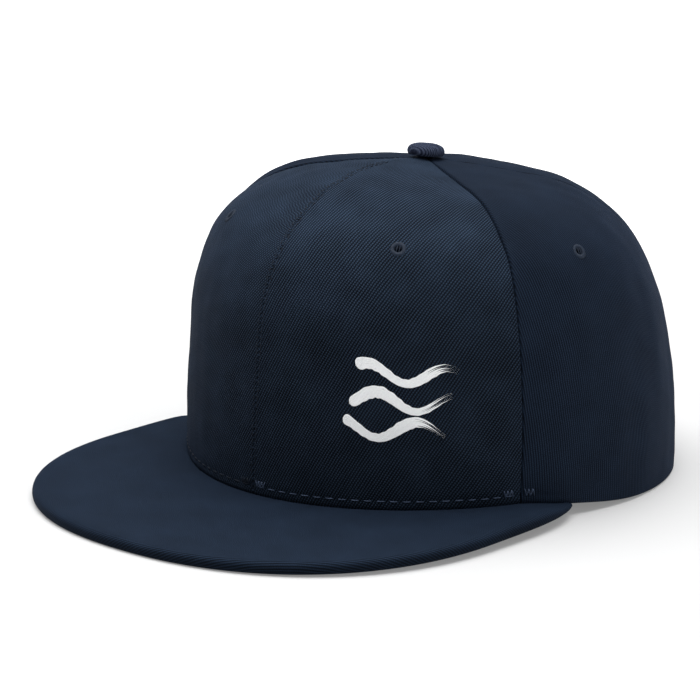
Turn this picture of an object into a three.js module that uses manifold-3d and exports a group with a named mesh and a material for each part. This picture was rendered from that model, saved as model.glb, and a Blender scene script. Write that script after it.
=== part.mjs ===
// A flat bill cap: six cloth panels, six sewn eyelets, a button on top and a stiff flat bill.
// Millimetres, +Z up. The bill points along -Y and the wearer's left is +X. The cap stands as it does on a
// table, on the front edge of its bill and the back of its crown. The origin is on the table, below the
// middle of the cap's length and width.

import * as THREE from 'three';
import { mergeVertices } from 'three/addons/utils/BufferGeometryUtils.js';
import Module from 'manifold-3d';

const wasm = await Module();
wasm.setup();

// Driving sizes of the crown. The reaches are measured at its lower edge, from the line across its widest
// place.
const crownFrontReach = 100.3;
const crownBackReach = 95.2;
const crownHalfWidth = 88.7;
const crownHeight = 116.1;
const apexForward = 9.4; // the top sits this far ahead of the lower edge's middle
const cornerTrim = 0.01; // share by which the plan is drawn in between front, sides and back
const clothWall = 1.8;
const pieceGap = 0.3; // between neighbouring pieces
const tipRadius = 3; // round opening that the panels' tips leave for the button's stem

// Seams and eyelets, as angles from the middle of the front, in degrees.
const frontSeamAngle = 62.7;
const backSeamAngle = 127;
const eyeletPlaces = [
  { panel: 'front', angle: 33, upShare: 0.588 },
  { panel: 'side', angle: 84, upShare: 0.578 },
  { panel: 'back', angle: 153, upShare: 0.575 },
];
const eyeletRadius = 2.9;
const eyeletHoleRadius = 1.2;
const eyeletProud = 0.3; // the ring stands this far out of the cloth on both sides

// Driving sizes of the bill.
const billReach = 67.4; // ahead of the crown's front
const billSideOverhang = 4.2; // at the widest place, past the crown's side
const billThickness = 4.4;
const billEdgeRound = 1.2;
const billTilt = 1.45; // degrees: the bill rises from its front edge to the crown
const billEndAngle = 76; // where its two ends meet the crown
const billWidestShare = 0.765; // of the crown's front reach, ahead of the crown's middle
const billFrontFullness = 2.23; // exponent of the outline ahead of the widest place; 2 is an ellipse
const billEndFullness = 4.2; // the same behind the widest place
const rimTuck = 1.2; // the crown's lower edge ends this far below the bill's top

// How the crown's lower edge comes down from the bill to the table behind the bill's ends: it is halfway
// where the cosine of the angle has the first value, and the second says how slowly it falls.
const rimFallPlace = 0.168;
const rimFallLength = 0.24;

// The button.
const buttonRadius = 6.9;
const buttonHeight = 4.3;
const buttonLift = 1; // between its lower edge and the highest cloth under it
const stemRadius = 2.3;
const stemLength = 3.7;

// Upright sections of the crown from the lower edge to the top, at the front, a side and the back: each
// row has shares of the reach outward and of the crown's height.
const sectionRows = [
  { frontOut: 1, frontUp: 0, sideOut: 1, sideUp: 0, backOut: 1, backUp: 0 },
  { frontOut: 0.99, frontUp: 0.18, sideOut: 1.005, sideUp: 0.165, backOut: 0.985, backUp: 0.17 },
  { frontOut: 0.965, frontUp: 0.39, sideOut: 0.995, sideUp: 0.355, backOut: 0.96, backUp: 0.367 },
  { frontOut: 0.92, frontUp: 0.62, sideOut: 0.96, sideUp: 0.573, backOut: 0.89, backUp: 0.572 },
  { frontOut: 0.793, frontUp: 0.817, sideOut: 0.858, sideUp: 0.782, backOut: 0.77, backUp: 0.755 },
  { frontOut: 0.58, frontUp: 0.944, sideOut: 0.638, sideUp: 0.918, backOut: 0.584, backUp: 0.9 },
  { frontOut: 0.312, frontUp: 1.005, sideOut: 0.339, sideUp: 0.97, backOut: 0.315, backUp: 0.966 },
  { frontOut: 0, frontUp: 1, sideOut: 0, sideUp: 1, backOut: 0, backUp: 1 },
];

// Outline of the button's dome, from its lower edge to its top, as shares of its radius and height.
const domeRows = [
  { out: 0.92, up: 0 },
  { out: 1, up: 0.22 },
  { out: 0.98, up: 0.5 },
  { out: 0.86, up: 0.76 },
  { out: 0.6, up: 0.93 },
  { out: 0.3, up: 0.99 },
  { out: 0, up: 1 },
];

// Facets.
const panelColumns = 10;
const panelRows = 16;
const billFrontSteps = 44;
const billEndSteps = 6;
const billInnerSteps = 36;
const eyeletSides = 14;
const buttonSides = 28;

const cloth = { color: 0x1f2a3a, roughness: 0.85, metalness: 0 };
const buttonCloth = { color: 0x2b2c42, roughness: 0.8, metalness: 0 };

const radians = THREE.MathUtils.degToRad;
const frontSection = sectionCurve('frontOut', 'frontUp');
const sideSection = sectionCurve('sideOut', 'sideUp');
const backSection = sectionCurve('backOut', 'backUp');
const billFront = -(crownFrontReach + billReach);
const billRise = Math.tan(radians(billTilt));

function sectionCurve(out, up) {
  return new THREE.SplineCurve(sectionRows.map((row) => new THREE.Vector2(row[out], row[up])));
}

// Height of the bill's top face. The flat underside starts where the rounding of the front edge ends.
function billTop(y) {
  return billThickness / Math.cos(radians(billTilt)) + billRise * (y - billFront - billEdgeRound);
}

// Height of the crown's lower edge above the table, at an angle from the front.
function rimHeight(angle) {
  const forward = Math.cos(angle);
  const fall = 0.5 + 0.5 * Math.tanh((forward - rimFallPlace) / rimFallLength);
  const y = -forward * (forward > 0 ? crownFrontReach : crownBackReach);
  return fall * (billTop(y) - rimTuck);
}

// A point of the crown's outer surface, at an angle from the front and a share of the way up.
function crownPoint(angle, upShare) {
  const forward = Math.cos(angle);
  const sideways = Math.sin(angle);
  const side = sideSection.getPoint(upShare);
  const end = (forward > 0 ? frontSection : backSection).getPoint(upShare);
  const endReach = forward > 0 ? crownFrontReach : crownBackReach;
  const topShare = Math.sin(upShare * Math.PI / 2) ** 2;
  const trim = 1 - cornerTrim * Math.sin(2 * angle) ** 2 * Math.cos(upShare * Math.PI / 2);
  const up = THREE.MathUtils.lerp(side.y, end.y, forward * forward);
  return new THREE.Vector3(
    crownHalfWidth * side.x * sideways * trim,
    -endReach * end.x * forward * trim - apexForward * topShare,
    crownHeight * up + rimHeight(angle) * (1 - Math.min(up, 1)),
  );
}

function crownNormal(angle, upShare) {
  const step = 0.002;
  const across = crownPoint(angle + step, upShare).sub(crownPoint(angle - step, upShare));
  const above = crownPoint(angle, Math.min(upShare + step, 1));
  const upward = above.sub(crownPoint(angle, Math.max(upShare - step, 0)));
  return across.cross(upward).normalize();
}

// Distance of a point of the crown from the line through its top.
function planRadius(angle, upShare) {
  const point = crownPoint(angle, upShare);
  const topShare = Math.sin(upShare * Math.PI / 2) ** 2;
  return Math.hypot(point.x, point.y + apexForward * topShare);
}

// The share of the way up at which the crown has come in to a small radius round its top.
function shareAtRadius(angle, radius) {
  let low = 0.8;
  let high = 1;
  for (let i = 0; i < 30; i += 1) {
    const middle = (low + high) / 2;
    if (planRadius(angle, middle) > radius) low = middle;
    else high = middle;
  }
  return (low + high) / 2;
}

// One closed cloth panel between two seams. Half the gap between neighbours is left at either seam.
function panelGeometry(fromAngle, toAngle) {
  const positions = [];
  const inner = [];
  for (let row = 0; row <= panelRows; row += 1) {
    for (let column = 0; column <= panelColumns; column += 1) {
      const across = column / panelColumns;
      const plainAngle = THREE.MathUtils.lerp(fromAngle, toAngle, across);
      const upShare = shareAtRadius(plainAngle, tipRadius) * (row / panelRows);
      const inset = (pieceGap / 2) / planRadius(plainAngle, upShare);
      const angle = THREE.MathUtils.lerp(fromAngle + inset, toAngle - inset, across);
      const point = crownPoint(angle, upShare);
      const normal = crownNormal(angle, upShare);
      if (row === 0) normal.setZ(0).normalize(); // the lower edge is cut level
      positions.push(...point.toArray());
      inner.push(...point.addScaledVector(normal, -clothWall).toArray());
    }
  }
  const width = panelColumns + 1;
  const layer = width * (panelRows + 1);
  positions.push(...inner);
  const faces = [];
  const quad = (a, b, c, d) => faces.push(a, b, c, a, c, d);
  for (let row = 0; row < panelRows; row += 1) {
    for (let column = 0; column < panelColumns; column += 1) {
      const a = row * width + column;
      quad(a, a + 1, a + 1 + width, a + width);
      quad(layer + a, layer + a + width, layer + a + 1 + width, layer + a + 1);
    }
    const left = row * width;
    const right = left + panelColumns;
    quad(left, left + width, layer + left + width, layer + left);
    quad(right, layer + right, layer + right + width, right + width);
  }
  for (let column = 0; column < panelColumns; column += 1) {
    const top = panelRows * width + column;
    quad(column, layer + column, layer + column + 1, column + 1);
    quad(top, top + 1, layer + top + 1, layer + top);
  }
  const geometry = new THREE.BufferGeometry();
  geometry.setAttribute('position', new THREE.Float32BufferAttribute(positions, 3));
  geometry.setIndex(faces);
  return geometry;
}

function solidFrom(geometry) {
  const bare = geometry.clone();
  bare.deleteAttribute('normal');
  bare.deleteAttribute('uv');
  const merged = mergeVertices(bare);
  return new wasm.Manifold(new wasm.Mesh({
    numProp: 3,
    vertProperties: new Float32Array(merged.attributes.position.array),
    triVerts: new Uint32Array(merged.index.array),
  }));
}

function geometryFrom(solid) {
  const mesh = solid.getMesh();
  const geometry = new THREE.BufferGeometry();
  geometry.setAttribute('position', new THREE.Float32BufferAttribute(mesh.vertProperties, 3));
  geometry.setIndex(Array.from(mesh.triVerts));
  return geometry;
}

// Lays a shape that was made along +Y so that it points along a direction, at a place.
function laidAt(geometry, place, direction) {
  const turn = new THREE.Quaternion().setFromUnitVectors(new THREE.Vector3(0, 1, 0), direction);
  return geometry.applyMatrix4(new THREE.Matrix4().compose(place, turn, new THREE.Vector3(1, 1, 1)));
}

// The middle of the cloth's wall at an eyelet, and the direction straight out of the cloth there.
function eyeletSeat(angle, upShare) {
  const outward = crownNormal(angle, upShare);
  const place = crownPoint(angle, upShare).addScaledVector(outward, -clothWall / 2);
  return { place, outward };
}

function eyeletHole(seat) {
  const radius = eyeletRadius + pieceGap;
  const punch = new THREE.CylinderGeometry(radius, radius, clothWall * 4, eyeletSides);
  return laidAt(punch, seat.place, seat.outward);
}

function eyeletGeometry(seat) {
  const half = clothWall / 2 + eyeletProud;
  const profile = [
    new THREE.Vector2(eyeletHoleRadius, -half),
    new THREE.Vector2(eyeletRadius, -half),
    new THREE.Vector2(eyeletRadius, half),
    new THREE.Vector2(eyeletHoleRadius, half),
    new THREE.Vector2(eyeletHoleRadius, -half),
  ];
  return laidAt(new THREE.LatheGeometry(profile, eyeletSides), seat.place, seat.outward);
}

// The bill's outline in plan: ahead of the widest place, round both ends, and back along the crown.
function billShape() {
  const halfWidth = crownHalfWidth + billSideOverhang;
  const widest = -crownFrontReach * billWidestShare;
  const end = billInnerPoint(radians(billEndAngle));
  const points = [];
  for (let i = 0; i <= billFrontSteps; i += 1) {
    const turn = Math.PI * (i / billFrontSteps - 0.5);
    const out = Math.sign(turn) * Math.abs(Math.sin(turn)) ** (2 / billFrontFullness);
    const ahead = Math.abs(Math.cos(turn)) ** (2 / billFrontFullness);
    points.push(new THREE.Vector2(halfWidth * out, widest + (billFront - widest) * ahead));
  }
  const endPoint = (share) => new THREE.Vector2(
    halfWidth - (halfWidth - end.x) * share ** billEndFullness,
    THREE.MathUtils.lerp(widest, end.y, share),
  );
  for (let i = 1; i < billEndSteps; i += 1) points.push(endPoint(i / billEndSteps));
  for (let i = 0; i <= billInnerSteps; i += 1) {
    const angle = THREE.MathUtils.lerp(billEndAngle, -billEndAngle, i / billInnerSteps);
    points.push(billInnerPoint(radians(angle)));
  }
  for (let i = billEndSteps - 1; i > 0; i -= 1) {
    const mirrored = endPoint(i / billEndSteps);
    points.push(new THREE.Vector2(-mirrored.x, mirrored.y));
  }
  return new THREE.Shape(points);
}

// The bill's inner edge runs along the outside of the crown, a gap away from it.
function billInnerPoint(angle) {
  const rim = crownPoint(angle, 0);
  const outward = crownNormal(angle, 0).setZ(0).normalize();
  return new THREE.Vector2(rim.x + outward.x * pieceGap, rim.y + outward.y * pieceGap);
}

function billGeometry() {
  const geometry = new THREE.ExtrudeGeometry(billShape(), {
    depth: billThickness - 2 * billEdgeRound,
    steps: 1,
    bevelEnabled: true,
    bevelThickness: billEdgeRound,
    bevelSize: billEdgeRound,
    bevelOffset: -billEdgeRound,
    bevelSegments: 3,
  });
  geometry.translate(0, -billFront - billEdgeRound, billEdgeRound);
  geometry.rotateX(radians(billTilt));
  return geometry.translate(0, billFront + billEdgeRound, 0);
}

// The button stands straight out of the crown's top, which leans a little, with its stem in the opening.
function buttonGeometry() {
  const apex = crownPoint(0, 1);
  const around = Array.from({ length: 12 }, (_, i) => {
    const angle = i * Math.PI / 6;
    return crownPoint(angle, shareAtRadius(angle, buttonRadius));
  });
  const lean = new THREE.Vector3().subVectors(around[6], around[0]);
  const axis = new THREE.Vector3(0, -lean.z, lean.y).normalize();
  const seat = Math.max(...around.map((point) => point.sub(apex).dot(axis))) + buttonLift;
  const profile = [
    new THREE.Vector2(0, -stemLength),
    new THREE.Vector2(stemRadius, -stemLength),
    new THREE.Vector2(stemRadius, 0),
    ...domeRows.map((row) => new THREE.Vector2(row.out * buttonRadius, row.up * buttonHeight)),
  ];
  return laidAt(new THREE.LatheGeometry(profile, buttonSides), apex.addScaledVector(axis, seat), axis);
}

function named(name, geometry, look) {
  const faceted = geometry.index ? geometry.toNonIndexed() : geometry;
  const mesh = new THREE.Mesh(faceted, new THREE.MeshStandardMaterial(look));
  mesh.geometry.computeVertexNormals();
  mesh.name = name;
  return mesh;
}

const panels = [
  { panel: 'front', from: 0, to: frontSeamAngle },
  { panel: 'side', from: frontSeamAngle, to: backSeamAngle },
  { panel: 'back', from: backSeamAngle, to: 180 },
];

const cap = new THREE.Group();
for (const hand of [{ name: 'left', sign: 1 }, { name: 'right', sign: -1 }]) {
  for (const { panel, from, to } of panels) {
    const eyelet = eyeletPlaces.find((place) => place.panel === panel);
    const seat = eyeletSeat(hand.sign * radians(eyelet.angle), eyelet.upShare);
    const edges = [hand.sign * radians(from), hand.sign * radians(to)].sort((a, b) => a - b);
    const solid = solidFrom(panelGeometry(...edges)).subtract(solidFrom(eyeletHole(seat)));
    cap.add(named(`crown_${panel}_${hand.name}`, geometryFrom(solid), cloth));
    cap.add(named(`eyelet_${panel}_${hand.name}`, eyeletGeometry(seat), cloth));
  }
}
cap.add(named('button', buttonGeometry(), buttonCloth));
cap.add(named('bill', billGeometry(), cloth));

const middle = new THREE.Box3().setFromObject(cap).getCenter(new THREE.Vector3());
for (const piece of cap.children) piece.geometry.translate(0, -middle.y, 0);

export default cap;
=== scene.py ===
import math

import bmesh
import bpy
import numpy as np
from mathutils import Matrix, Vector


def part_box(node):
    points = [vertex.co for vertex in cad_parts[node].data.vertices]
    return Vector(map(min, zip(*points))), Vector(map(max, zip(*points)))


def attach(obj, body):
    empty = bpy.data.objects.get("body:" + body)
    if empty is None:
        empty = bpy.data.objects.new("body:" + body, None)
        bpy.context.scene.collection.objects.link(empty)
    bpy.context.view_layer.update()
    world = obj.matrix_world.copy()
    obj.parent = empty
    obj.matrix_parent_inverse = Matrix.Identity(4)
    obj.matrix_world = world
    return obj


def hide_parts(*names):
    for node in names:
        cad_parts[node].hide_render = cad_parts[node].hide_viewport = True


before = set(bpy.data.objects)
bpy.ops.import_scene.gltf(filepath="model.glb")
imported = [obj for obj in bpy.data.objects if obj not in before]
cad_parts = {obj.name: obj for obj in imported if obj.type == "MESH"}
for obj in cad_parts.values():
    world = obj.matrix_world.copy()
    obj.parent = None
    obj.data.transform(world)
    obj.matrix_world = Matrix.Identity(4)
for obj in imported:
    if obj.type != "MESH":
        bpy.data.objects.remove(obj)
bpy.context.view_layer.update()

# A flat bill cap, dressed over its CAD solids. Shapes are worked out in millimetres in the crown's own
# frame, where angles run from the middle of the front towards the wearer's left. They become metres of
# the row frame when a mesh is made.
print("frame loaded:", len(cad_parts), "solids")

cameraPlace = {
    "azimuth": 41.5,  # degrees from the front towards the wearer's left
    "elevation": 13.8,
    "roll": 0.98,
    "distance": 1.2,
    "aim": (-0.0032, -0.0096, 0.0487),
    "lens": 169.2,
}


def addCamera(place):
    turn, rise, roll = (math.radians(place[name]) for name in ("azimuth", "elevation", "roll"))
    back = Vector((math.sin(turn) * math.cos(rise), -math.cos(turn) * math.cos(rise), math.sin(rise)))
    right = Vector((math.cos(turn), math.sin(turn), 0))
    up = back.cross(right)
    rolledRight = right * math.cos(roll) + up * math.sin(roll)
    rolledUp = up * math.cos(roll) - right * math.sin(roll)
    camera = bpy.data.objects.new("camera", bpy.data.cameras.new("camera"))
    camera.data.lens = place["lens"]
    camera.data.sensor_width = 36
    axes = Matrix((rolledRight, rolledUp, back)).transposed().to_4x4()
    camera.matrix_world = Matrix.Translation(Vector(place["aim"]) + back * place["distance"]) @ axes
    bpy.context.scene.collection.objects.link(camera)
    bpy.context.scene.camera = camera


addCamera(cameraPlace)
print("camera placed")

# Driving sizes of the crown and the bill, the same as in the part's source.
crown = {
    "frontReach": 100.3,
    "backReach": 95.2,
    "halfWidth": 88.7,
    "height": 116.1,
    "apexForward": 9.4,
    "cornerTrim": 0.01,
    "wall": 1.8,
    "gap": 0.3,
    "tipRadius": 3,
    "rimTuck": 1.2,
    "rimFallPlace": 0.168,
    "rimFallLength": 0.24,
    # Upright sections from the lower edge to the top: shares of the reach outward and of the height.
    "frontRows": ((1, 0), (0.99, 0.18), (0.965, 0.39), (0.92, 0.62), (0.793, 0.817), (0.58, 0.944),
                  (0.312, 1.005), (0, 1)),
    "sideRows": ((1, 0), (1.005, 0.165), (0.995, 0.355), (0.96, 0.573), (0.858, 0.782), (0.638, 0.918),
                 (0.339, 0.97), (0, 1)),
    "backRows": ((1, 0), (0.985, 0.17), (0.96, 0.367), (0.89, 0.572), (0.77, 0.755), (0.584, 0.9),
                 (0.315, 0.966), (0, 1)),
}
bill = {
    "reach": 67.4,
    "sideOverhang": 4.2,
    "thickness": 4.4,
    "edgeRound": 1.2,
    "tilt": 1.45,
    "endAngle": 76,
    "widestShare": 0.765,
    "frontFullness": 2.23,
    "endFullness": 4.2,
    "innerReach": 1.25,  # the cloth's inner edge goes this far under the crown's turned-in edge
    "outlineSteps": 240,
    "faceRows": 26,
    "wave": 0.12,  # how uneven the covered board is: height and length in mm, and the random seed
    "waveLength": 30,
    "waveSeed": 11,
    "endThin": 0.62,  # share of its thickness that it loses at its two ends, where it is sewn in
    "thinFrom": 24,  # mm ahead of the ends
    # The wrapped edge from the underside to the top: inward from the outline, and height.
    "edgeRows": ((2.2, 0), (1.2, 0.05), (0.55, 0.3), (0.15, 0.8), (0, 1.4), (0.03, 2.0), (0.14, 2.6),
                 (0.36, 3.15), (0.75, 3.65), (1.3, 4.05), (2.0, 4.3), (2.9, 4.4)),
    "innerEdge": 0.35,  # how tight the edge is along the crown, against the free edge
    "cornerReach": 3,  # how many outline points are eased each way at the ends' corners, and how often
    "cornerTurns": 4,
    "mitreLimit": 0.35,  # keeps the inset at a corner from running away
    "ribs": 38,  # degrees
}
# How the cloth goes in at each seam, by the seam's angle in degrees, and how far apart its edges lie.
seams = {
    0: {"shoulder": 0.25, "pull": 0.08, "pullWidth": 3, "gap": 0.06},
    62.7: {"shoulder": 1.0, "pull": 0.35, "pullWidth": 5, "gap": 0.3},
    -62.7: {"shoulder": 1.0, "pull": 0.35, "pullWidth": 5, "gap": 0.3},
    127: {"shoulder": 0.8, "pull": 0.35, "pullWidth": 5, "gap": 0.3},
    -127: {"shoulder": 0.8, "pull": 0.35, "pullWidth": 5, "gap": 0.3},
    180: {"shoulder": 0.6, "pull": 0.2, "pullWidth": 4, "gap": 0.15},
}
# On the dome the stiff front panels sink towards their outer seams, and the softer side panels swell.
dome = {
    "seam": 62.7,
    "sink": 0.8,
    "sinkReach": 9,  # mm from the seam
    "swell": 1.4,
    "swellReach": 6,
    "swellTop": (0.66, 0.84),  # shares of the way up over which the swell drops
    "swellLeft": 0.35,  # what is left of it there
    "swellEnd": (80, 115),  # degrees from the front over which the swell dies away
    "low": (0.35, 0.62),  # shares of the way up
    "high": (0.9, 0.98),
}
rim = {
    "tuckDepth": 0.7,  # how far the cloth turns in where it meets the bill
    "tuckRise": 1.5,
    "tuckEnds": (72, 82),  # degrees over which the turned-in edge gives way to the plain hem
    "hemDepth": 0.7,
    "hemRise": 1.1,
    "rowHeight": 3.1,  # the row of stitches, above the bill's top
    "rowDent": 0.16,
    "rowWidth": 0.8,
}
# Stiffened cloth is never quite even. The waves are given by height and length in mm and a random seed.
unevenness = {
    "waves": ((0.22, 34, 3), (0.1, 13, 5)),
    "fromMiddle": (8, 40),  # mm from the middle of the top over which the waves set in
    "fromRim": (0, 8),  # mm above the lower edge, likewise
    "pullFromMiddle": (7, 35),  # where the seams' pull sets in
}
billFront = -(crown["frontReach"] + bill["reach"])
billRise = math.tan(math.radians(bill["tilt"]))
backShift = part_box("bill")[0].y * 1000 - billFront  # from the crown's own frame to the row frame


def smoothStep(value, low, high):
    share = np.clip((value - low) / (high - low), 0, 1)
    return share * share * (3 - 2 * share)


# Seven sine waves of about the given length, in random directions, come to a height of about one.
def softWaves(places, length, seed):
    random = np.random.default_rng(seed)
    total = 0
    for wave in range(7):
        direction = random.normal(size=places.shape[-1])
        direction *= 2 * math.pi / (length * random.uniform(0.7, 1.6) * np.linalg.norm(direction))
        total = total + np.sin(places @ direction + random.uniform(0, 6.28))
    return total / 2.6


# The length of a line up to each of its points.
def lengthAlong(points):
    return np.append(0, np.cumsum(np.linalg.norm(np.diff(points, axis=0), axis=-1)))


# A smooth curve through a table's rows, by share of the way through the table.
def catmullRom(rows, share):
    rows = np.array(rows, float)
    last = len(rows) - 1
    place = np.clip(share, 0, 1) * last
    start = np.minimum(np.floor(place).astype(int), last - 1)
    t = (place - start)[..., None]
    before, here = rows[np.maximum(start - 1, 0)], rows[start]
    there, after = rows[start + 1], rows[np.minimum(start + 2, last)]
    slopeHere, slopeThere = (there - before) / 2, (after - here) / 2
    return ((2 * here - 2 * there + slopeHere + slopeThere) * t ** 3
            + (3 * there - 3 * here - 2 * slopeHere - slopeThere) * t ** 2 + slopeHere * t + here)


def billTop(y):
    flatStart = billFront + bill["edgeRound"]
    return bill["thickness"] / math.cos(math.radians(bill["tilt"])) + billRise * (y - flatStart)


def rimHeight(angle):
    forward = np.cos(angle)
    fall = 0.5 + 0.5 * np.tanh((forward - crown["rimFallPlace"]) / crown["rimFallLength"])
    y = -forward * np.where(forward > 0, crown["frontReach"], crown["backReach"])
    return fall * (billTop(y) - crown["rimTuck"])


def crownPoint(angle, share):
    angle, share = np.broadcast_arrays(np.asarray(angle, float), np.asarray(share, float))
    forward, sideways = np.cos(angle), np.sin(angle)
    ahead = forward > 0
    side = catmullRom(crown["sideRows"], share)
    front, back = catmullRom(crown["frontRows"], share), catmullRom(crown["backRows"], share)
    end = np.where(ahead[..., None], front, back)
    endReach = np.where(ahead, crown["frontReach"], crown["backReach"])
    topShare = np.sin(share * math.pi / 2) ** 2
    trim = 1 - crown["cornerTrim"] * np.sin(2 * angle) ** 2 * np.cos(share * math.pi / 2)
    up = side[..., 1] + (end[..., 1] - side[..., 1]) * forward ** 2
    return np.stack([
        crown["halfWidth"] * side[..., 0] * sideways * trim,
        -endReach * end[..., 0] * forward * trim - crown["apexForward"] * topShare,
        crown["height"] * up + rimHeight(angle) * (1 - np.minimum(up, 1)),
    ], axis=-1)


def crownNormal(angle, share):
    step = 0.002
    higher, lower = np.minimum(share + step, 1), np.maximum(share - step, 0)
    across = crownPoint(angle + step, share) - crownPoint(angle - step, share)
    upward = crownPoint(angle, higher) - crownPoint(angle, lower)
    normal = np.cross(across, upward)
    return normal / np.linalg.norm(normal, axis=-1, keepdims=True)


def planRadius(angle, share):
    point = crownPoint(angle, share)
    topShare = np.sin(np.asarray(share) * math.pi / 2) ** 2
    return np.hypot(point[..., 0], point[..., 1] + crown["apexForward"] * topShare)


# The share of the way up where something is reached, found by halving between low and high.
def shareWhere(reached, angle, low, high):
    low, high = np.full(np.shape(angle), float(low)), np.full(np.shape(angle), float(high))
    for _ in range(26):
        middle = (low + high) / 2
        past = reached(angle, middle)
        low, high = np.where(past, low, middle), np.where(past, middle, high)
    return (low + high) / 2


def shareAtRadius(angle, radius):
    return shareWhere(lambda a, s: planRadius(a, s) < radius, angle, 0.8, 1)


# The share of its thickness that the bill has lost at a place from front to back.
def billThinning(y):
    end = -crown["frontReach"] * math.cos(math.radians(bill["endAngle"]))
    return bill["endThin"] * smoothStep(y, end - bill["thinFrom"], end)


def aboveBill(point):
    y = point[..., 1]
    return point[..., 2] - billTop(y) + bill["thickness"] * billThinning(y)


def shareAboveBill(angle, height):
    return shareWhere(lambda a, s: aboveBill(crownPoint(a, s)) > height, angle, 0, 0.3)


def quarterRound(share):
    return 1 - np.sqrt(1 - np.clip(share, 0, 1) ** 2)


# The cloth's outer face: the crown with its seams drawn in, its lower edge turned in and the soft
# unevenness of a stiffened cloth. The lift stands a thing off the cloth.
def clothPoint(angle, share, lift=0):
    point, normal = crownPoint(angle, share), crownNormal(angle, share)
    radius = planRadius(angle, share)
    openTop = smoothStep(radius, *unevenness["pullFromMiddle"])
    depth = 0
    for seamAngle, form in seams.items():
        turn = (angle - math.radians(seamAngle) + math.pi) % (2 * math.pi) - math.pi
        away = np.abs(turn) * radius
        depth = depth + form["shoulder"] * quarterRound(1 - away / form["shoulder"])
        depth = depth + openTop * form["pull"] * np.exp(-((away / form["pullWidth"]) ** 2))
    past = np.degrees(np.abs(angle)) - dome["seam"]
    away = np.radians(np.abs(past)) * radius
    sink = dome["sink"] * np.exp(-((away / dome["sinkReach"]) ** 2))
    swell = dome["swell"] * (1 - np.exp(-((away / dome["swellReach"]) ** 2)))
    swell = swell * (1 - smoothStep(past + dome["seam"], *dome["swellEnd"]))
    swell = swell * (1 - (1 - dome["swellLeft"]) * smoothStep(share, *dome["swellTop"]))
    onDome = smoothStep(share, *dome["low"]) * (1 - smoothStep(share, *dome["high"]))
    depth = depth + onDome * np.where(past < 0, sink, -swell)
    overBill = 1 - smoothStep(np.abs(np.degrees(angle)), *rim["tuckEnds"])
    height = aboveBill(point)
    depth = depth + overBill * rim["tuckDepth"] * quarterRound(1 - height / rim["tuckRise"])
    offRow = (height - rim["rowHeight"]) / rim["rowWidth"]
    depth = depth + overBill * rim["rowDent"] * np.exp(-(offRow ** 2))
    overRim = point[..., 2] - rimHeight(angle)
    depth = depth + (1 - overBill) * rim["hemDepth"] * quarterRound(1 - overRim / rim["hemRise"])
    uneven = sum(high * softWaves(point, length, seed) for high, length, seed in unevenness["waves"])
    depth = depth - (uneven * smoothStep(radius, *unevenness["fromMiddle"])
                     * smoothStep(overRim, *unevenness["fromRim"]))
    return point - normal * (depth - lift)[..., None]


# From millimetres in the crown's own frame to metres in the row frame.
def toRow(points):
    return (np.asarray(points, float) + (0, backShift, 0)) / 1000


# Each group is a list of faces with, for every point, its place on the cloth in millimetres.
def addPiece(name, points, groups, material, replaced=(), sharpFrom=50):
    mesh = bpy.data.meshes.new(name)
    faces = [face for group, _ in groups for face in group]
    mesh.from_pydata(toRow(points).tolist(), [], faces)
    places = [np.asarray(cloth)[np.concatenate([np.asarray(face) for face in group])]
              for group, cloth in groups if cloth is not None and len(group)]
    if places:
        layer = mesh.uv_layers.new(name="clothMap")
        layer.data.foreach_set("uv", np.concatenate(places).astype(np.float32).ravel())
    mesh.polygons.foreach_set("use_smooth", np.ones(len(mesh.polygons), bool))
    mesh.set_sharp_from_angle(angle=math.radians(sharpFrom))
    mesh.materials.append(material)
    mesh.validate()
    piece = bpy.data.objects.new(name, mesh)
    bpy.context.scene.collection.objects.link(piece)
    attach(piece, "root")
    if replaced:
        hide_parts(*replaced)
    return piece


# Places on the cloth, turned so that the ribs run at these degrees from the cloth's level direction.
def turned(places, degrees):
    turn = math.radians(degrees)
    x, y = places[..., 0], places[..., 1]
    along = x * math.cos(turn) + y * math.sin(turn)
    across = y * math.cos(turn) - x * math.sin(turn)
    return np.stack([along, across], axis=-1)


def linearColour(sheet):
    shades = [int(sheet[i:i + 2], 16) / 255 for i in (1, 3, 5)]
    return (*(s / 12.92 if s <= 0.04045 else ((s + 0.055) / 1.055) ** 2.4 for s in shades), 1)


def addNode(tree, kind, *values, sockets=None, **settings):
    node = tree.nodes.new("ShaderNode" + kind)
    for name, value in settings.items():
        setattr(node, name, value)
    for socket, value in [*enumerate(values), *(sockets or {}).items()]:
        if isinstance(value, bpy.types.Node):
            value = value.outputs[0]
        if isinstance(value, bpy.types.NodeSocket):
            tree.links.new(value, node.inputs[socket])
        else:
            node.inputs[socket].default_value = value
    return node


def newMaterial(name, **shaderValues):
    material = bpy.data.materials.new(name)
    material.use_nodes = True
    tree = material.node_tree
    shader = tree.nodes["Principled BSDF"]
    for socket, value in shaderValues.items():
        shader.inputs[socket.replace("_", " ")].default_value = value
    return material, tree, shader


# Cotton twill, woven three over one and dyed navy: the eye sees slanting ribs, each a row of short
# raised floats with dark gaps between. Its colour is painted paler where the cloth faces up and darker on
# steep faces, round the bill's edge and under it: painted light and shade from above.
twillFinish = {
    "roughness": 0.85,
    "specular": 0.05,
    "sheen": 0.06,
    "sheenRoughness": 0.45,
    "sheenTint": "#7a96c8",
    "driftSize": 9,  # mm, over which the ribs wander
    "fibresPerMm": 2.6,
    "fuzz": 0.5,
    "cloudsPerMm": 0.07,  # paler and darker patches about 14 mm across
    "reliefDepth": 0.0002,  # metres, for the bump
    "unshadedFacing": 0.9,  # how far up a normal points where the painted shade ends
}


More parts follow.
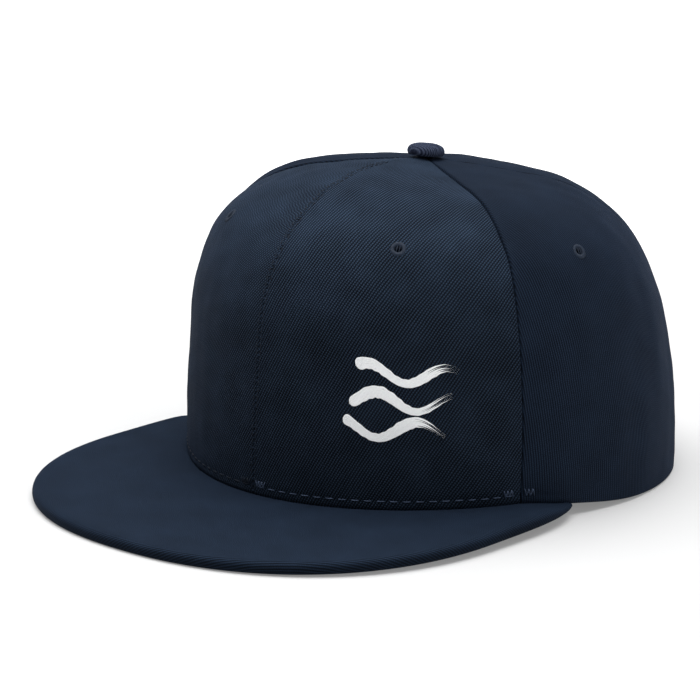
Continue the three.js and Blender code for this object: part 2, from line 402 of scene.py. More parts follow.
def cottonTwill(name, look):
    finish = twillFinish
    material, tree, shader = newMaterial(
        name, Roughness=finish["roughness"], Specular_IOR_Level=finish["specular"],
        Sheen_Weight=finish["sheen"], Sheen_Roughness=finish["sheenRoughness"],
        Sheen_Tint=linearColour(finish["sheenTint"]))
    cloth = addNode(tree, "UVMap", uv_map="clothMap")
    parts = addNode(tree, "SeparateXYZ", cloth)
    drift = addNode(tree, "TexNoise",
                    sockets={"Vector": cloth, "Scale": 1 / finish["driftSize"], "Detail": 1.0})
    drifted = addNode(tree, "Math", drift, look["drift"], operation="MULTIPLY")
    ribPlace = addNode(tree, "Math", parts.outputs[1], 1 / look["pitch"], drifted,
                       operation="MULTIPLY_ADD")
    ribNumber = addNode(tree, "Math", ribPlace, operation="FLOOR")
    ribTurn = addNode(tree, "Math", ribPlace, 2 * math.pi, operation="MULTIPLY")
    ribWave = addNode(tree, "Math", ribTurn, operation="COSINE")
    rib = addNode(tree, "Math", ribWave, -0.5, 0.5, operation="MULTIPLY_ADD")
    ribShift = addNode(tree, "TexWhiteNoise", sockets={"W": ribNumber}, noise_dimensions="1D")
    floatPlace = addNode(tree, "Math", parts.outputs[0], 1 / look["floatLength"], ribShift,
                         operation="MULTIPLY_ADD")
    floatTurn = addNode(tree, "Math", floatPlace, 2 * math.pi, operation="MULTIPLY")
    floatWave = addNode(tree, "Math", floatTurn, operation="COSINE")
    bead = addNode(tree, "Math", floatWave, look["bead"] / 2, 1 - look["bead"] / 2,
                   operation="MULTIPLY_ADD")
    woven = addNode(tree, "Math", rib, bead, operation="MULTIPLY")
    fuzz = addNode(tree, "TexNoise", sockets={"Vector": cloth, "Scale": finish["fibresPerMm"],
                                              "Detail": 3.0, "Roughness": 0.7})
    height = addNode(tree, "Math", fuzz, finish["fuzz"], woven, operation="MULTIPLY_ADD")
    cloud = addNode(tree, "TexNoise", sockets={"Vector": cloth, "Scale": finish["cloudsPerMm"],
                                               "Detail": 3.0})
    tone = addNode(tree, "Math", cloud, look["cloud"], height, operation="MULTIPLY_ADD")
    lowest = 0.5 * (finish["fuzz"] + look["cloud"])
    shade = addNode(tree, "MapRange", tone, lowest, lowest + 1, 0.0, 1.0)
    gap, thread = linearColour(look["gap"]), linearColour(look["thread"])
    colour = addNode(tree, "Mix", sockets={0: shade, 6: gap, 7: thread}, data_type="RGBA")
    bump = addNode(tree, "Bump", sockets={"Strength": look["relief"], "Distance": finish["reliefDepth"],
                                          "Height": height})
    # Painted shade: the colour is darkened on faces that do not point up, as light from above would leave
    # them.
    facing = addNode(tree, "SeparateXYZ", addNode(tree, "NewGeometry").outputs[1])
    paintedShade = addNode(tree, "MapRange", facing.outputs[2], 0.0, finish["unshadedFacing"], look["paintedSideShade"], 1.0,
                   interpolation_type="SMOOTHSTEP")
    paintedShadeColour = addNode(tree, "VectorMath", colour.outputs[2], sockets={"Scale": paintedShade}, operation="SCALE")
    tree.links.new(paintedShadeColour.outputs[0], shader.inputs["Base Color"])
    tree.links.new(bump.outputs[0], shader.inputs["Normal"])
    return material


# The real twill has a rib about every millimetre on the front and a little finer on the sides. Each
# part's gap and thread colours were matched to how bright that part looks where it faces up. Apart from
# the cloth's own navy, the differences between the parts are painted light and shade. The painted side
# shade is the share of them left on a steep face.
twillLooks = {
    "front": {"pitch": 1.05, "floatLength": 0.9, "bead": 0.7, "drift": 0.5, "cloud": 0.4, "relief": 0.9,
              "gap": "#05070b", "thread": "#36465b", "paintedSideShade": 0.58},
    "side": {"pitch": 0.9, "floatLength": 0.8, "bead": 0.4, "drift": 0.6, "cloud": 0.4, "relief": 0.45,
             "gap": "#080c13", "thread": "#1e2a3b", "paintedSideShade": 1.0},
    "bill": {"pitch": 1.0, "floatLength": 0.8, "bead": 0.4, "drift": 0.6, "cloud": 0.4, "relief": 0.4,
             "gap": "#070c13", "thread": "#212e40", "paintedSideShade": 0.5},
    "button": {"pitch": 0.9, "floatLength": 0.8, "bead": 0.3, "drift": 0.3, "cloud": 0.3, "relief": 0.4,
               "gap": "#171b2a", "thread": "#41495c", "paintedSideShade": 0.95},
}
twills = {name: cottonTwill(name + "CottonTwill", look) for name, look in twillLooks.items()}


# Spun polyester sewing thread, twisted from two strands: its hairy surface shows as a fine grain, with a
# low, slightly silky shine.
threadFinish = {
    "roughness": 0.6,
    "specular": 0.2,
    "grainScale": 2500.0,  # per metre
    "shades": (0.6, 1.3),  # darkest and palest fibre against the thread's colour
    "relief": 0.4,
    "reliefDepth": 0.0001,
}


def sewingThread(name, colour):
    finish = threadFinish
    material, tree, shader = newMaterial(
        name, Roughness=finish["roughness"], Specular_IOR_Level=finish["specular"])
    place = addNode(tree, "TexCoord")
    grain = addNode(tree, "TexNoise", sockets={"Vector": place.outputs[3], "Scale": finish["grainScale"],
                                               "Detail": 2.0})
    low, high = (tuple(linearColour(colour)[i] * share for i in range(3)) + (1,)
                 for share in finish["shades"])
    shade = addNode(tree, "Mix", sockets={0: grain, 6: low, 7: high}, data_type="RGBA")
    bump = addNode(tree, "Bump", sockets={"Strength": finish["relief"], "Distance": finish["reliefDepth"],
                                          "Height": grain})
    tree.links.new(shade.outputs[2], shader.inputs["Base Color"])
    tree.links.new(bump.outputs[0], shader.inputs["Normal"])
    return material


rowThread = sewingThread("greySewingThread", "#3b475c")
seamThread = sewingThread("navySewingThread", "#141c29")
eyeletThread = sewingThread("navyEmbroideryThread", "#192434")
print("materials made")

panelForm = {
    # Where the mesh's columns and rows lie, in mm in from a seam and up from the lower edge.
    "edgeSteps": (0, 0.1, 0.25, 0.45, 0.7, 1, 1.4, 1.9, 2.6, 3.5, 4.6, 6, 7.6, 9.4),
    "middleSteps": 44,
    "rimSteps": (0, 0.3, 0.6, 0.9, 1.15, 1.4, 1.7, 2, 2.35, 2.7, 3.1, 3.5, 3.9, 4.4, 5, 5.7, 6.5, 7.5),
    "rowStep": 1.6,
    "pathSteps": 900,  # how finely the way up the panel is measured
    "eyeletHole": 2.2,
    "drillLength": 9,
    "drillSides": 40,
}
panels = {
    "front": {"from": 0, "to": 62.7, "ribs": 58, "cloth": "front"},
    "side": {"from": 62.7, "to": 127, "ribs": 96, "cloth": "side"},
    "back": {"from": 127, "to": 180, "ribs": 70, "cloth": "side"},
}
eyelets = {
    "front": {"angle": 33, "share": 0.588},
    "side": {"angle": 84, "share": 0.578},
    "back": {"angle": 153, "share": 0.575},
}
eyeletForm = {
    "hole": 1.2,
    "outer": 2.95,
    "proud": 0.3,
    "threads": 26,
    "ridge": 0.07,  # how far each thread stands out, as a share of the ring's width
    "squareness": (0.8, 0.7),  # below one, the ring's section is fuller than an ellipse
    "crossing": ((-0.45, 0.3), (0.5, 0.25)),  # threads over the hole: how far aside, and their slant
    "crossingThread": 0.17,
    "crossingHold": 0.35,  # how far their ends go into the ring
    "around": 156,
    "section": 18,
}


def gridFaces(rows, columns, offset=0, flip=False):
    corner = (np.arange(rows - 1)[:, None] * columns + np.arange(columns - 1)[None]).ravel() + offset
    loop = [corner, corner + 1, corner + 1 + columns, corner + columns]
    return np.stack(loop[::-1] if flip else loop, axis=-1).tolist()


def panelMesh(*seamAngles):
    form = panelForm
    fromAngle, toAngle = (math.radians(seam) for seam in seamAngles)
    middleAngle = (fromAngle + toAngle) / 2
    topShare = shareAtRadius(middleAngle, crown["tipRadius"])
    fine = np.linspace(0, topShare, form["pathSteps"])
    path = crownPoint(middleAngle, fine)
    length = lengthAlong(path)
    plainRows = int((length[-1] - form["rimSteps"][-1]) / form["rowStep"])
    heights = np.append(form["rimSteps"], np.linspace(form["rimSteps"][-1], length[-1], plainRows)[1:])
    rowShares = np.interp(heights, length, fine)
    width = planRadius(middleAngle, 0) * (toAngle - fromAngle)
    edge = np.array(form["edgeSteps"]) / width
    middle = np.linspace(edge[-1], 1 - edge[-1], form["middleSteps"])[1:-1]
    across = np.concatenate([edge, middle, 1 - edge[::-1]])
    plain = fromAngle + (toAngle - fromAngle) * across
    share = rowShares[:, None] * (shareAtRadius(plain, crown["tipRadius"]) / topShare)[None]
    radius = planRadius(plain[None], share)
    start, end = (seams.get(seam, seams[180])["gap"] / 2 / radius for seam in seamAngles)
    angle = fromAngle + start + (toAngle - fromAngle - start - end) * across[None]
    outer = clothPoint(angle, share)
    normal = crownNormal(angle, share)
    normal[0, :, 2] = 0
    # The inner faces meet at the seams, so no light passes between the panels.
    closed = clothPoint(np.broadcast_to(plain, share.shape), share)
    inner = closed - crown["wall"] * normal / np.linalg.norm(normal, axis=-1, keepdims=True)
    rows, columns = share.shape
    layer = rows * columns
    points = np.concatenate([outer.reshape(-1, 3), inner.reshape(-1, 3)])
    faces = gridFaces(rows, columns) + gridFaces(rows, columns, layer, flip=True)
    for row in range(rows - 1):
        left, right = row * columns, row * columns + columns - 1
        faces.append((left, left + columns, layer + left + columns, layer + left))
        faces.append((right, layer + right, layer + right + columns, right + columns))
    for column in range(columns - 1):
        top = (rows - 1) * columns + column
        faces.append((column, layer + column, layer + column + 1, column + 1))
        faces.append((top, top + 1, layer + top + 1, layer + top))
    sideways = planRadius(angle, share) * (angle - middleAngle)
    cloth = np.stack([sideways, np.broadcast_to(heights[:, None], share.shape)], axis=-1).reshape(-1, 2)
    return points, faces, np.concatenate([cloth, cloth])


def seatAxes(angle, share):
    place = clothPoint(np.array(angle), np.array(share))
    outward = crownNormal(np.array(angle), np.array(share))
    level = np.cross((0, 0, 1), outward)
    level /= np.linalg.norm(level)
    return place, np.stack([level, np.cross(outward, level), outward])


def punchEyeletHole(piece, place, axes):
    radius = panelForm["eyeletHole"] / 1000
    drill = bpy.data.meshes.new("drill")
    shape = bmesh.new()
    bmesh.ops.create_cone(shape, cap_ends=True, segments=panelForm["drillSides"], radius1=radius,
                          radius2=radius, depth=panelForm["drillLength"] / 1000)
    shape.to_mesh(drill)
    shape.free()
    cutter = bpy.data.objects.new("drill", drill)
    cutter.matrix_world = Matrix.Translation(toRow(place)) @ Matrix(axes.tolist()).transposed().to_4x4()
    bpy.context.scene.collection.objects.link(cutter)
    cut = piece.modifiers.new("hole", "BOOLEAN")
    cut.operation, cut.object, cut.solver = "DIFFERENCE", cutter, "EXACT"
    bpy.context.view_layer.update()
    whole = piece.evaluated_get(bpy.context.evaluated_depsgraph_get())
    piece.data = bpy.data.meshes.new_from_object(whole)
    piece.modifiers.clear()
    bpy.data.objects.remove(cutter)


# Joined rounded threads, each along its own row of points with its own radii.
def threadMesh(lines, radii, ups, sides=8):
    points, faces = [], []
    turn = np.linspace(0, 2 * math.pi, sides, endpoint=False)
    for line, radius, up in zip(lines, radii, ups):
        start = sum(len(part) for part in points)
        along = np.gradient(line, axis=0)
        along /= np.linalg.norm(along, axis=-1, keepdims=True)
        side = np.cross(along, up)
        side /= np.linalg.norm(side, axis=-1, keepdims=True)
        above = np.cross(side, along)
        ring = (side[:, None] * np.cos(turn)[None, :, None]
                + above[:, None] * np.sin(turn)[None, :, None])
        points.append((line[:, None] + ring * radius[:, None, None]).reshape(-1, 3))
        count = len(line)
        for i in range(count - 1):
            near, far = start + i * sides, start + (i + 1) * sides
            for j in range(sides):
                k = (j + 1) % sides
                faces.append([near + j, far + j, far + k, near + k])
        faces.append([start + j for j in range(sides)])
        faces.append([start + (count - 1) * sides + j for j in range(sides - 1, -1, -1)])
    return np.concatenate(points), faces


def eyeletMesh(place, axes):
    form = eyeletForm
    around = np.linspace(0, 2 * math.pi, form["around"], endpoint=False)[:, None]
    section = np.linspace(0, 2 * math.pi, form["section"], endpoint=False)[None]
    halfWidth = (form["outer"] - form["hole"]) / 2
    halfHeight = crown["wall"] / 2 + form["proud"]
    ridge = 1 + form["ridge"] * np.cos(around * form["threads"])
    outward, upward = np.cos(section), np.sin(section)
    fullOut, fullUp = form["squareness"]
    out = form["hole"] + halfWidth - halfWidth * ridge * np.sign(outward) * np.abs(outward) ** fullOut
    up = halfHeight * (1 + 0.5 * (ridge - 1)) * np.sign(upward) * np.abs(upward) ** fullUp
    local = np.stack([out * np.cos(around), out * np.sin(around),
                      up - crown["wall"] / 2 + 0 * around], axis=-1)
    faces = []
    count, sides = form["around"], form["section"]
    for i in range(count):
        for j in range(sides):
            nextI, nextJ = (i + 1) % count, (j + 1) % sides
            faces.append((i * sides + j, i * sides + nextJ, nextI * sides + nextJ, nextI * sides + j))
    steps = np.linspace(-1, 1, 9)
    reach = form["hole"] + form["crossingHold"]
    lines = [np.stack([foot + slant * steps, steps * math.sqrt(reach ** 2 - foot ** 2),
                       0.1 - 0.25 * steps ** 2], axis=-1) for foot, slant in form["crossing"]]
    radii = [np.full(len(steps), form["crossingThread"])] * len(lines)
    threads, threadFaces = threadMesh(lines, radii, [(0, 0, 1.0)] * len(lines))
    faces += [[point + count * sides for point in face] for face in threadFaces]
    return place + np.concatenate([local.reshape(-1, 3), threads]) @ axes, faces


for hand, sign in (("left", 1), ("right", -1)):
    for kind, panel in panels.items():
        ends = sorted((sign * panel["from"], sign * panel["to"]))
        points, faces, cloth = panelMesh(*ends)
        piece = addPiece(f"panel_{kind}_{hand}", points, [(faces, turned(cloth, panel["ribs"]))],
                         twills[panel["cloth"]], [f"crown_{kind}_{hand}"])
        place, axes = seatAxes(sign * math.radians(eyelets[kind]["angle"]), eyelets[kind]["share"])
        punchEyeletHole(piece, place - axes[2] * crown["wall"] / 2, axes)
        ringPoints, ringFaces = eyeletMesh(place, axes)
        addPiece(f"eyelet_ring_{kind}_{hand}", ringPoints, [(ringFaces, None)], eyeletThread,
                 [f"eyelet_{kind}_{hand}"])
print("crown panels and eyelets made")


def billInnerEdge(angle):
    normal = crownNormal(angle, np.zeros_like(angle))[..., :2]
    normal /= np.linalg.norm(normal, axis=-1, keepdims=True)
    return crownPoint(angle, 0)[..., :2] + normal * (crown["gap"] - bill["innerReach"])


# Points at even distances along a line.
def evenly(points, steps):
    length = lengthAlong(points)
    places = np.linspace(0, length[-1], steps + 1)
    return np.stack([np.interp(places, length, points[:, i]) for i in range(points.shape[1])], axis=-1)


# The bill's outline in plan runs from the left end round the front to the right end, and back along the
# crown.
def billOutline():
    halfWidth = crown["halfWidth"] + bill["sideOverhang"]
    widest = -crown["frontReach"] * bill["widestShare"]
    ends = math.radians(bill["endAngle"])
    inner = billInnerEdge(np.linspace(ends, -ends, 600))
    back = np.linspace(1, 0, 200)
    endPart = np.stack([halfWidth - (halfWidth - inner[0, 0]) * back ** bill["endFullness"],
                        widest + (inner[0, 1] - widest) * back], axis=-1)
    turn = np.linspace(math.pi / 2, 0, 800)[1:]
    power = 2 / bill["frontFullness"]
    frontPart = np.stack([halfWidth * np.sin(turn) ** power,
                          widest + (billFront - widest) * np.cos(turn) ** power], axis=-1)
    half = np.concatenate([endPart, frontPart])
    outer = np.concatenate([half, half[-2::-1] * (-1, 1)])
    steps = bill["outlineSteps"]
    outline = np.concatenate([evenly(outer, steps), evenly(inner, steps)[-2:0:-1]])
    for corner in (0, steps):
        near = np.arange(corner - bill["cornerReach"], corner + bill["cornerReach"] + 1) % len(outline)
        for _ in range(bill["cornerTurns"]):
            beside = outline[near - 1] + outline[(near + 1) % len(outline)]
            outline[near] = (beside + 2 * outline[near]) / 4
    return outline


# The bill is made flat, from its wrapped edge and rows of points between its free and its sewn edge, and
# then thinned at its ends and tilted.
def billMesh():
    outline = billOutline()
    count, steps, rows = len(outline), bill["outlineSteps"], bill["faceRows"]
    edges = np.roll(outline, -1, axis=0) - outline
    edges /= np.linalg.norm(edges, axis=-1, keepdims=True)
    sides = np.stack([edges[:, 1], -edges[:, 0]], axis=-1)
    inward = sides + np.roll(sides, 1, axis=0)
    inward /= np.maximum((inward * sides).sum(-1, keepdims=True), bill["mitreLimit"])
    inward[steps + 1:] *= bill["innerEdge"]
    points, wraps, wrapped = [], [], 0
    edgeRows = bill["edgeRows"]
    topInset = edgeRows[-1][0]
    for index in range(len(edgeRows) - 1, -1, -1):
        inset, height = edgeRows[index]
        if index < len(edgeRows) - 1:
            wrapped += math.dist(edgeRows[index], edgeRows[index + 1])
        points.insert(0, np.column_stack([outline + inward * inset, np.full(count, float(height))]))
        wraps.insert(0, outline + inward * (topInset - wrapped))
    ring = np.arange(count)
    after = (ring + 1) % count
    edgeFaces = []
    for index in range(len(edgeRows) - 1):
        low, high = index * count, (index + 1) * count
        edgeFaces += np.stack([low + ring, high + ring, high + after, low + after], axis=-1).tolist()
    total = len(edgeRows) * count
    topFaces, underFaces = [], []
    for level, faces in ((len(edgeRows) - 1, topFaces), (0, underFaces)):
        rim0 = level * count
        rimPoints = points[level]
        table = np.zeros((rows + 1, steps + 1), int)
        table[0] = rim0 + np.arange(steps + 1)
        table[rows] = rim0 + (count - np.arange(steps + 1)) % count
        table[rows, steps] = rim0 + steps
        table[:, 0], table[:, steps] = rim0, rim0 + steps
        share = (np.arange(1, rows) / rows)[:, None, None]
        outerSide = rimPoints[np.arange(1, steps)]
        innerSide = rimPoints[count - np.arange(1, steps)]
        inside = outerSide + (innerSide - outerSide) * share
        innerCount = (rows - 1) * (steps - 1)
        table[1:rows, 1:steps] = total + np.arange(innerCount).reshape(rows - 1, steps - 1)
        if level:
            fromEdge = np.clip(np.minimum(share[..., 0], 1 - share[..., 0]) * 4, 0, 1)
            wave = softWaves(inside[..., :2], bill["waveLength"], bill["waveSeed"])
            inside[..., 2] += bill["wave"] * wave * fromEdge
        points.append(inside.reshape(-1, 3))
        total += innerCount
        for row in range(rows):
            for step in range(steps):
                loop = [table[row, step], table[row + 1, step],
                        table[row + 1, step + 1], table[row, step + 1]]
                loop = [int(point) for i, point in enumerate(loop) if point != loop[i - 1]]
                if len(set(loop)) == len(loop) and len(loop) > 2:
                    faces.append(loop if level else loop[::-1])
    flat = np.concatenate(points)
    flat[:, 2] *= 1 - billThinning(flat[:, 1])
    edgeCloth = np.concatenate([np.concatenate(wraps), flat[len(edgeRows) * count:, :2]])
    tilt = math.radians(bill["tilt"])
    flatStart = billFront + bill["edgeRound"]
    ahead, height = flat[:, 1] - flatStart, flat[:, 2]
    tilted = np.stack([flat[:, 0], flatStart + ahead * math.cos(tilt) - height * math.sin(tilt),
                       ahead * math.sin(tilt) + height * math.cos(tilt)], axis=-1)
    return tilted, edgeFaces, topFaces, underFaces, edgeCloth, flat[:, :2]


points, edgeFaces, topFaces, underFaces, edgeCloth, planCloth = billMesh()
groups = [(edgeFaces, turned(edgeCloth, bill["ribs"])), (topFaces, turned(planCloth, bill["ribs"])),
          (underFaces, turned(planCloth * (-1, 1), bill["ribs"]))]
addPiece("bill_cloth", points, groups, twills["bill"], ["bill"])
print("bill made")

buttonForm = {
    "radius": 6.9,
    "height": 4.3,
    "lift": 1,  # between its lower edge and the highest cloth under it
    "pleats": 34,
    "pleatDepth": 0.16,
    "pleatSharpness": 0.6,
    "pleatRise": (0.9, 1.6),  # mm up, and out from the middle, over which the pleats set in
    "pleatReach": (0.6, 3),
    "clothStretch": 1.2,
    "around": 408,
    "rows": 30,
    # From the lower edge to the top: shares of the radius and the height.
    "domeRows": ((0.92, 0), (1, 0.22), (0.98, 0.5), (0.86, 0.76), (0.6, 0.93), (0.3, 0.99), (0, 1)),
    "lastRow": 0.985,
}


# The button leans as the cloth under it does, and its cloth is gathered in pleats round the shell.
def buttonMesh():
    form = buttonForm
    apex = crownPoint(np.array(0.0), np.array(1.0))
    turns = np.arange(12) * math.pi / 6
    around = crownPoint(turns, shareAtRadius(turns, form["radius"]))
    lean = around[6] - around[0]
    axis = np.array((0, -lean[2], lean[1])) / np.hypot(lean[1], lean[2])
    seat = ((around - apex) @ axis).max() + form["lift"]
    sideways = np.array((1.0, 0, 0))
    axes = np.stack([sideways, np.cross(axis, sideways), axis])
    share = np.linspace(0, form["lastRow"], form["rows"])
    section = catmullRom(form["domeRows"], share)
    out, up = section[:, :1] * form["radius"], section[:, 1:] * form["height"]
    turn = np.linspace(0, 2 * math.pi, form["around"], endpoint=False)[None]
    pleat = np.abs(np.cos(turn * form["pleats"] / 2)) ** form["pleatSharpness"]
    depth = form["pleatDepth"] * smoothStep(up, *form["pleatRise"]) * smoothStep(out, *form["pleatReach"])
    pleated = out + depth * (pleat - 1)
    local = np.stack([pleated * np.cos(turn), pleated * np.sin(turn), up + depth * (pleat - 1)], axis=-1)
    rows, columns = len(share), form["around"]
    points = np.concatenate([local.reshape(-1, 3), [(0, 0, form["height"]), (0, 0, 0)]])
    ring = np.arange(columns)
    after = (ring + 1) % columns
    faces = []
    for row in range(rows - 1):
        low, high = row * columns, (row + 1) * columns
        faces += np.stack([low + ring, low + after, high + after, high + ring], axis=-1).tolist()
    last = (rows - 1) * columns
    faces += [(last + i, last + (i + 1) % columns, rows * columns) for i in range(columns)]
    faces += [((i + 1) % columns, i, rows * columns + 1) for i in range(columns)]
    cloth = np.stack([np.cos(turn) * out * form["clothStretch"],
                      np.sin(turn) * out * form["clothStretch"]], axis=-1).reshape(-1, 2)
    return apex + axis * seat + points @ axes, faces, np.concatenate([cloth, [(0, 0), (0, 0)]])


points, faces, cloth = buttonMesh()
addPiece("button_cloth", points, [(faces, cloth)], twills["button"], ["button"])
print("button made")

# The rows of stitches: lengths, pitches and thread radii in mm, angles in degrees from the front.
stitching = {
    "length": 3.0,
    "pitch": 4.6,
    "thread": 0.2,
    "firstAngle": 1.5,
    "lastAngle": 61,
    "points": 9,  # along each stitch
    "seamLength": 2.0,
    "seamPitch": 2.7,
    "seamAside": 0.95,
    "seamThread": 0.13,
    "seamPoints": 7,
    "seamShares": (0.03, 0.9),
    # Zigzag bar tacks beside the seams: the seam's angle, then where each starts and ends, in mm aside.
    "tacks": ((0, 1.4, 5.6), (62.7, -6.4, -3.0), (62.7, 1.2, 4.6)),
    "tackStep": 0.7,
    "tackHeights": (2.6, 5.3),
}


# Each stitch arches over the cloth and goes into it at both ends.
def layStitches(angles, shares, thread):
    lines, radii, ups = [], [], []
    for angle, share in zip(angles, shares):
        steps = np.linspace(-1, 1, len(angle))
        lift = thread * (1.1 - 2.2 * steps ** 4)
        lines.append(clothPoint(angle, share, lift))
        radii.append(thread * np.sqrt(np.clip(1 - 0.75 * steps ** 6, 0.05, 1)))
        ups.append(crownNormal(angle, share))
    return threadMesh(lines, radii, ups)


# Where stitches of one length and pitch lie on a path, as values of what it is measured by.
def stitchPlaces(path, values, stitch, pitch, count):
    length = lengthAlong(path)
    starts = np.arange(0, length[-1] - stitch, pitch)
    return [np.interp(np.linspace(start, start + stitch, count), length, values) for start in starts]


for hand, sign in (("left", 1), ("right", -1)):
    form = stitching
    path = np.radians(np.linspace(form["firstAngle"], form["lastAngle"], 2000))
    row = crownPoint(path, shareAboveBill(path, rim["rowHeight"]))
    angles = stitchPlaces(row, path, form["length"], form["pitch"], form["points"])
    angles = [sign * angle for angle in angles]
    shares = [shareAboveBill(angle, rim["rowHeight"]) for angle in angles]
    for seamAngle, first, last in form["tacks"]:
        for zig, aside in enumerate(np.arange(first, last, form["tackStep"])):
            asides = np.linspace(aside, aside + form["tackStep"], form["points"])
            heights = np.linspace(*form["tackHeights"], form["points"])[:: 1 if zig % 2 else -1]
            angles.append(sign * (math.radians(seamAngle) + asides / crown["halfWidth"]))
            shares.append(shareAboveBill(angles[-1], heights))
    points, faces = layStitches(angles, shares, form["thread"])
    addPiece(f"rim_stitches_{hand}", points, [(faces, None)], rowThread if sign > 0 else seamThread)
    heights = np.arange(*form["seamShares"], 0.001)
    shares = stitchPlaces(crownPoint(np.zeros_like(heights), heights), heights, form["seamLength"],
                          form["seamPitch"], form["seamPoints"])
    angles = [sign * form["seamAside"] / planRadius(np.zeros_like(share), share) for share in shares]
    points, faces = layStitches(angles, shares, form["seamThread"])
    addPiece(f"seam_stitches_{hand}", points, [(faces, None)], seamThread)
print("stitches laid")


# A generic motif on the left front panel: three brushed waves. Each stroke is laid as a few bristle
# tracks that part at its dry end.
waves = {
    "angle": 35.3,  # the motif's middle, in degrees from the front and as a share of the way up
    "share": 0.2725,
    "length": 37,
    "swing": 3.1,
    "turns": 1.3,
    "stroke": 4.3,
    "bristles": 5,
    "ink": 0.14,
    "rows": ((2.4, 10.2, 0.1), (0.2, 0.4, 0.9), (-2.2, -9.6, 0.3)),  # aside, up, and start within a turn
    "steps": 110,
    "seed": 21,
    # Shares of a stroke's length, or of its width.
    "roundStart": 0.045,
    "swelling": (0.82, 0.18),
    "taper": 0.35,
    "taperFrom": 0.55,
    "ragged": 0.05,
    "raggedLength": 0.09,
    "raggedFrom": 0.7,  # only the outer bristles are ragged
    "dryFrom": 0.84,
    "dryLength": 0.22,
    "overlap": 1.06,
    # Out and up round a bristle's track.
    "section": ((-1, -0.35), (-1, 0.6), (-0.6, 1), (0.6, 1), (1, 0.6), (1, -0.35)),
}


# Plastisol ink, screen printed: dense white with a satin skin, and the twill's ribs show through it.
inkFinish = {
    "roughness": 0.55,
    "specular": 0.35,
    "thin": "#e4e6e8",
    "thick": "#fbfbfa",
    "grainsPerMm": 1.8,
    "grain": 1.2,  # against the ribs' height
    "relief": 0.35,
    "reliefDepth": 0.0001,
}


def printInk():
    finish = inkFinish
    material, tree, shader = newMaterial("whiteScreenPrintInk", Roughness=finish["roughness"],
                                         Specular_IOR_Level=finish["specular"])
    cloth = addNode(tree, "UVMap", uv_map="clothMap")
    parts = addNode(tree, "SeparateXYZ", cloth)
    ribTurns = 2 * math.pi / twillLooks["front"]["pitch"]
    turn = addNode(tree, "Math", parts.outputs[1], ribTurns, operation="MULTIPLY")
    rib = addNode(tree, "Math", turn, operation="COSINE")
    grain = addNode(tree, "TexNoise", sockets={"Vector": cloth, "Scale": finish["grainsPerMm"],
                                               "Detail": 3.0})
    height = addNode(tree, "Math", grain, finish["grain"], rib, operation="MULTIPLY_ADD")
    thin, thick = linearColour(finish["thin"]), linearColour(finish["thick"])
    colour = addNode(tree, "Mix", sockets={0: grain, 6: thin, 7: thick}, data_type="RGBA")
    bump = addNode(tree, "Bump", sockets={"Strength": finish["relief"], "Distance": finish["reliefDepth"],
                                          "Height": height})
    tree.links.new(colour.outputs[2], shader.inputs["Base Color"])
    tree.links.new(bump.outputs[0], shader.inputs["Normal"])
    return material


# From places aside and up from the motif's middle, in mm, to points on the cloth.
def onFrontPanel(place, lift):
    middle = np.array(math.radians(waves["angle"]))
    fine = np.linspace(0, 0.7, 700)
    length = lengthAlong(crownPoint(middle, fine))
    share = np.interp(np.interp(waves["share"], fine, length) + place[..., 1], length, fine)
    return clothPoint(middle + place[..., 0] / planRadius(middle, share), share, lift)


def wavesMesh():
    form = waves
    random = np.random.default_rng(form["seed"])
    points, places, faces = [], [], []
    along = np.linspace(0, 1, form["steps"])
    for aside, up, start in form["rows"]:
        turn = 2 * math.pi * (form["turns"] * along + start)
        line = np.stack([form["length"] * (along - 0.5) + aside,
                         up + form["swing"] * np.sin(turn)], axis=-1)
        ahead = np.gradient(line, axis=0)
        ahead /= np.linalg.norm(ahead, axis=-1, keepdims=True)
        sideways = np.stack([-ahead[:, 1], ahead[:, 0]], axis=-1)
        least, more = form["swelling"]
        swellOut = least + more * np.sin(turn * 0.9 + 1.1)
        rounding = np.sqrt(1 - np.clip(1 - along / form["roundStart"], 0, 1) ** 2)
        half = form["stroke"] / 2 * swellOut * rounding
        half = half * (1 - form["taper"] * smoothStep(along, form["taperFrom"], 1))
        for bristle in range(form["bristles"]):
            middle = (2 * bristle + 1) / form["bristles"] - 1
            edgeWaves = softWaves(along[:, None], form["raggedLength"], 40 + bristle)
            ragged = 1 + form["ragged"] * edgeWaves * (abs(middle) > form["raggedFrom"])
            end = random.uniform(form["dryFrom"], 1)
            wet = 1 - smoothStep(along, end - form["dryLength"], end)
            width = half / form["bristles"] * form["overlap"] * ragged * wet
            centre = line + sideways * (half * middle * ragged)[:, None]
            first = sum(len(part) for part in points)
            for out, high in form["section"]:
                place = centre + sideways * (width * out)[:, None]
                points.append(onFrontPanel(place, form["ink"] * high))
                places.append(place)
            count, sides = form["steps"], len(form["section"])
            for i in range(count - 1):
                for j in range(sides):
                    near, far = first + j * count + i, first + (j + 1) % sides * count + i
                    faces.append((near, near + 1, far + 1, far))
            faces.append([first + j * count for j in range(sides)])
            faces.append([first + j * count + count - 1 for j in range(sides - 1, -1, -1)])
    return np.concatenate(points), faces, np.concatenate(places)


points, faces, places = wavesMesh()
addPiece("front_print", points, [(faces, turned(places, panels["front"]["ribs"]))], printInk())
print("motif printed")

# Opal white acrylic table top with a painted glow in place of more light: plain and pale, it keeps the
# shadows soft.
# Its painted glow is dimmest under the cap and rises away from it, making up for the lamps' fall-off.
table = {
    "colour": "#b4b4b4",
    "roughness": 0.9,
    "specular": 0.1,
    "reach": (0.16, 0.7),  # metres from the middle over which the glow rises
    "paintedGlow": (0.21, 0.9),
    "halfSize": 14,
}


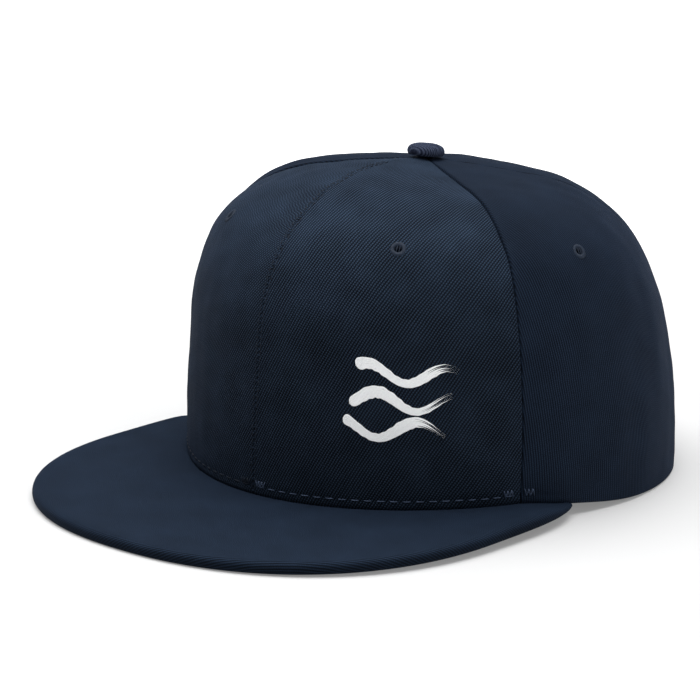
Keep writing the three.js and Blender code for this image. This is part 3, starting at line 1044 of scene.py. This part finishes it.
def addFloor():
    material, tree, shader = newMaterial("whiteTableWithPaintedGlow", Roughness=table["roughness"],
                                         Specular_IOR_Level=table["specular"])
    shader.inputs["Base Color"].default_value = linearColour(table["colour"])
    shader.inputs["Emission Color"].default_value = (1, 1, 1, 1)
    # Painted light: the table glows, less under the cap so its shadows show, more further out.
    place = addNode(tree, "NewGeometry")
    far = addNode(tree, "VectorMath", place, operation="LENGTH")
    paintedGlow = addNode(tree, "MapRange", far.outputs[1], *table["reach"], *table["paintedGlow"],
                   interpolation_type="SMOOTHSTEP")
    tree.links.new(paintedGlow.outputs[0], shader.inputs["Emission Strength"])
    mesh = bpy.data.meshes.new("floor")
    half = table["halfSize"]
    corners = [(-half, -half, 0), (half, -half, 0), (half, half, 0), (-half, half, 0)]
    mesh.from_pydata(corners, [], [(0, 1, 2, 3)])
    mesh.materials.append(material)
    floor = bpy.data.objects.new("floor", mesh)
    bpy.context.scene.collection.objects.link(floor)


# Square area lamps: place and size in metres, power in watts.
lamps = {
    "overhead": {"place": (-0.3, 0.15, 3.0), "size": 3.6, "power": 200, "colour": "#ffffff"},
    "rightFill": {"place": (-2.2, -1.4, 1.3), "size": 1.6, "power": 4, "colour": "#ffffff"},
    "leftFill": {"place": (2.3, -0.5, 0.8), "size": 1.6, "power": 9, "colour": "#ffffff"},
}
lampAim = (0, 0, 0.06)
studio = {"colour": "#f2f4f8", "strength": 0.3}


def addLamps():
    for name, lamp in lamps.items():
        light = bpy.data.lights.new(name, "AREA")
        light.size, light.energy = lamp["size"], lamp["power"]
        light.color = linearColour(lamp["colour"])[:3]
        holder = bpy.data.objects.new(name, light)
        holder.location = lamp["place"]
        aim = Vector(lampAim) - holder.location
        holder.rotation_euler = aim.to_track_quat("-Z", "Y").to_euler()
        bpy.context.scene.collection.objects.link(holder)
    world = bpy.data.worlds.new("studio")
    world.use_nodes = True
    background = world.node_tree.nodes["Background"]
    background.inputs["Color"].default_value = linearColour(studio["colour"])
    background.inputs["Strength"].default_value = studio["strength"]
    bpy.context.scene.world = world


addFloor()
addLamps()
bpy.context.scene.view_settings.view_transform = "Standard"
print("stage and lights made")
